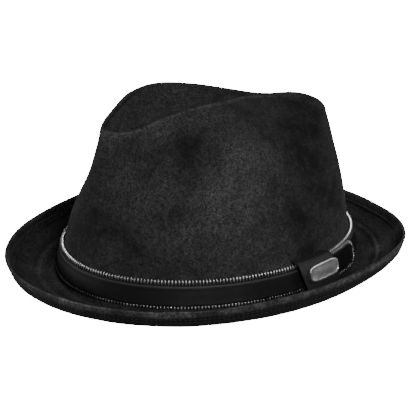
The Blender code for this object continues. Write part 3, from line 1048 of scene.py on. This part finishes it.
def nubuck(name, dark, light, sheen, clouds):
    """Sanded black leather that is lighter where it is stroked or worn, and where light and shade
    are painted.
    """
    made = _, tree, shader, effect = start_material(name, NAP, Clouds=clouds)
    wear_and_painted_light = add(tree, "ShaderNodeAttribute", attribute_name="wear_and_painted_light").outputs["Fac"]
    tree.links.new(wear_and_painted_light, effect.inputs["Worn"])
    colour = mix_colours(tree, effect.outputs["Tone"], dark, light)
    shader.inputs["Specular IOR Level"].default_value = 0.16
    shader.inputs["Sheen Weight"].default_value = sheen
    shader.inputs["Sheen Roughness"].default_value = 0.30
    shader.inputs["Sheen Tint"].default_value = (0.85, 0.87, 0.90, 1)
    return surface(made, colour, (0.92, 0.74), effect.outputs["Height"], 0.00012, 0.5)


def smooth_leather(name, dark, light, roughness, depth, size, gloss):
    """Finished black leather with pores."""
    made = _, tree, shader, effect = start_material(name, PORES, Size=size)
    base = mix_colours(tree, effect.outputs["Tone"], dark, light)
    wear_and_painted_light = add(tree, "ShaderNodeAttribute", attribute_name="wear_and_painted_light").outputs["Fac"]
    # the pale colour of the painted edge highlight
    edge = tuple(value * EDGE_LIGHTER for value in light)
    shader.inputs["Specular IOR Level"].default_value = gloss
    rough = roughness + 0.06, roughness - 0.06
    colour = mix_colours(tree, wear_and_painted_light, base, edge)
    return surface(made, colour, rough, effect.outputs["Height"], depth, 0.5)


DARK_NAP = 0.0015, 0.0015, 0.0017
crown_nubuck = nubuck("crown_nubuck", DARK_NAP, (0.044, 0.044, 0.045), sheen=0.04, clouds=0.19)
brim_nubuck = nubuck("brim_nubuck", DARK_NAP, (0.040, 0.040, 0.041), sheen=0.04, clouds=0.16)
strap_leather = smooth_leather(
    "strap_leather", (0.005, 0.005, 0.0055), (0.0085, 0.0085, 0.009),
    roughness=0.50, depth=0.00008, size=1.0, gloss=0.14,
)
keeper_leather = smooth_leather(
    "keeper_leather", (0.010, 0.010, 0.011), (0.015, 0.015, 0.016),
    roughness=0.55, depth=0.00008, size=0.8, gloss=0.30,
)
tongue_leather = smooth_leather(
    "tongue_leather", (0.004, 0.004, 0.0045), (0.007, 0.007, 0.0075),
    roughness=0.25, depth=0.00004, size=1.2, gloss=0.5,
)

# %% [markdown]
# The zip is nickel and the plate is chrome: smooth metal whose tone and gloss vary only a little,
# as if wiped. Tape and thread are woven, so a fine wave pattern gives their ribs.

# %% Metal, tape and thread materials
SMEARED = 0.86
RIBS_TO_METRE = 700.0


def metal(name, colour, roughness, scratches):
    """Bright metal with faint smears and scratches."""
    made = _, tree, shader, effect = start_material(name, PORES, Size=6.0)
    shader.inputs["Metallic"].default_value = 1.0
    shade = tuple(value * SMEARED for value in colour)
    smeared = mix_colours(tree, effect.outputs["Tone"], shade, colour)
    rough = roughness, roughness + 0.12
    return surface(made, smeared, rough, effect.outputs["Height"], scratches, 0.2)


def woven(name, dark, light):
    """Woven tape or twisted thread, with fine ribs across its height."""
    made = _, tree, _, _ = start_material(name, PORES, Size=1.0)
    place = add(tree, "ShaderNodeTexCoord").outputs["Object"]
    ribs = add(
        tree, "ShaderNodeTexWave",
        wave_type="BANDS", bands_direction="Z", Scale=RIBS_TO_METRE, Distortion=0.4,
    )
    tree.links.new(place, ribs.inputs["Vector"])
    colour = mix_colours(tree, ribs.outputs["Fac"], dark, light)
    return surface(made, colour, (0.80, 0.95), ribs.outputs["Fac"], 0.0002, 0.6)


zip_metal = metal("zip_nickel", (0.52, 0.52, 0.51), 0.24, 0.00002)
plate_metal = metal("plate_chrome", (0.80, 0.80, 0.81), 0.30, 0.00001)
tape_cloth = woven("tape_weave", (0.003, 0.003, 0.003), (0.008, 0.008, 0.008))
seam_thread = woven("seam_thread", (0.003, 0.003, 0.003), (0.012, 0.012, 0.012))

# %% [markdown]
# ## Dressing the hat
# Each finished piece gets its material and rides on the hat's one body, and the nodes of the frame
# that it replaces are hidden. The patterns that were copied have done their work and go.

# %% Dress the pieces
DRESSED = (
    (crown, crown_nubuck, "nubuck_crown", "crown"),
    (brim, brim_nubuck, "nubuck_brim", "brim"),
    (brim_seams, seam_thread, "nubuck_brim"),
    (strap, strap_leather, "band_leather", "band_strap"),
    (upper_tape, tape_cloth, "zip_metal"),
    (lower_tape, tape_cloth, "zip_metal"),
    (upper_teeth, zip_metal, "zip_metal", "zip_upper"),
    (lower_teeth, zip_metal, "zip_metal", "zip_lower"),
    (tongue, tongue_leather, "tongue_leather", "tongue"),
    (tongue_teeth, zip_metal, "zip_metal", "tongue_zip"),
    (tongue_tape, tape_cloth, "zip_metal"),
    (keeper, keeper_leather, "keeper_leather", "keeper"),
    (plate, plate_metal, "plate_metal", "badge_plate"),
)
for piece, material, slot, *nodes in DRESSED:
    piece.data.materials.clear()
    piece.data.materials.append(material)
    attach(piece, "root")
    if nodes:
        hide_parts(*nodes)
for pattern in (tooth, plain_tooth, stitch):
    bpy.data.objects.remove(pattern)
print(f"{len(DRESSED)} pieces dressed")

# %% [markdown]
# ## The studio
# The hat stands on a white page. A floor lit so white would fill black leather with light, so the
# floor and the backdrop are white to the camera alone and dim to everything else.

# %% Floor and backdrop
WHITE, DIM = 22.0, 0.10
FLOOR_HEIGHT = -0.0004  # just under the leather's unevenness


def white_to_camera(tree, dim, white_kind, output):
    """Mixes a dim shader, for what lights the hat, with a white one that only the camera sees."""
    white = add(tree, white_kind, Strength=WHITE)
    path = add(tree, "ShaderNodeLightPath")
    mix = tree.nodes.new("ShaderNodeMixShader")
    tree.links.new(path.outputs["Is Camera Ray"], mix.inputs["Fac"])
    tree.links.new(dim, mix.inputs[1])
    tree.links.new(white.outputs[0], mix.inputs[2])
    tree.links.new(mix.outputs["Shader"], tree.nodes[output].inputs["Surface"])


let_go()
bpy.ops.mesh.primitive_plane_add(size=6.0, location=(0, 0, FLOOR_HEIGHT))
floor = bpy.context.object
floor.name = "floor"
paper = bpy.data.materials.new("floor_paper")
paper.use_nodes = True
tree = paper.node_tree
sheet = tree.nodes["Principled BSDF"]
sheet.inputs["Base Color"].default_value = (0.35, 0.35, 0.35, 1)
sheet.inputs["Roughness"].default_value = 0.9
white_to_camera(tree, sheet.outputs["BSDF"], "ShaderNodeEmission", "Material Output")
floor.data.materials.append(paper)
floor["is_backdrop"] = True

world = bpy.data.worlds.new("studio")
world.use_nodes = True
tree = world.node_tree
dim = tree.nodes["Background"]
dim.inputs["Color"].default_value = (0.80, 0.80, 0.80, 1)
dim.inputs["Strength"].default_value = DIM
white_to_camera(tree, dim.outputs["Background"], "ShaderNodeBackground", "World Output")
scene.world = world

# %% [markdown]
# Two broad soft lights model the crown, one above and one beside the camera. Metal shows what it
# mirrors, so three strips stand where the zips and the plate look: one on each side, one low down.

# %% Lights
TARGET = Vector((0, MIDDLE_Y, 0.050))


def face_hat(name, data, azimuth, elevation, distance):
    """Turns a light or a camera to the hat. Azimuth 0 is in front of it and 90 at the keeper."""
    a, e = math.radians(azimuth), math.radians(elevation)
    way = Vector((math.sin(a) * math.cos(e), -math.cos(a) * math.cos(e), math.sin(e)))
    holder = bpy.data.objects.new(name, data)
    holder.location = TARGET + distance * way
    holder.rotation_euler = (-way).to_track_quat("-Z", "Y").to_euler()
    scene.collection.objects.link(holder)
    return holder


def soft_light(name, azimuth, elevation, distance, size, power):
    """A light that faces the hat, with its width and height and its power in watts."""
    lamp = bpy.data.lights.new(name, "AREA")
    lamp.shape = "RECTANGLE"
    lamp.size, lamp.size_y = size
    lamp.energy = power
    face_hat(name, lamp, azimuth, elevation, distance)


soft_light("top_light", 40, 76, 1.3, (0.45, 0.35), 2.2)
soft_light("camera_light", 73, 30, 1.4, (0.40, 0.45), 15)
soft_light("left_strip", -37, 6, 1.4, (1.2, 0.22), 7.6)
soft_light("right_strip", 152, 22, 1.4, (0.45, 0.6), 4.8)
soft_light("low_strip", 117, 5, 1.4, (1.2, 0.2), 3.5)

# %% [markdown]
# The camera stands ahead of the hat and to the wearer's left, a little above it. A long lens keeps
# the brim's oval as flat as in the photograph, and a small shift frames it.

# %% Camera
CAMERA_AZIMUTH, CAMERA_ELEVATION, CAMERA_DISTANCE = 60, 20.8, 1.10
lens = bpy.data.cameras.new("camera")
lens.sensor_width = 36
lens.lens = 143.2
lens.shift_x, lens.shift_y = -0.0137, -0.0297
lens.clip_start, lens.clip_end = 0.1, 20
scene.camera = face_hat("camera", lens, CAMERA_AZIMUTH, CAMERA_ELEVATION, CAMERA_DISTANCE)
print("camera at", [round(value, 3) for value in scene.camera.location])

# %% [markdown]
# The dressed hat should fill the same box as its frame, so both boxes are kept side by side.

# %% Check the size and finish
new_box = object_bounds()
grown = [[round((b - a) * 1000, 2) for a, b in zip(old, new)] for old, new in zip(cad_box, new_box)]
print("box against the frame's, mm:", grown)
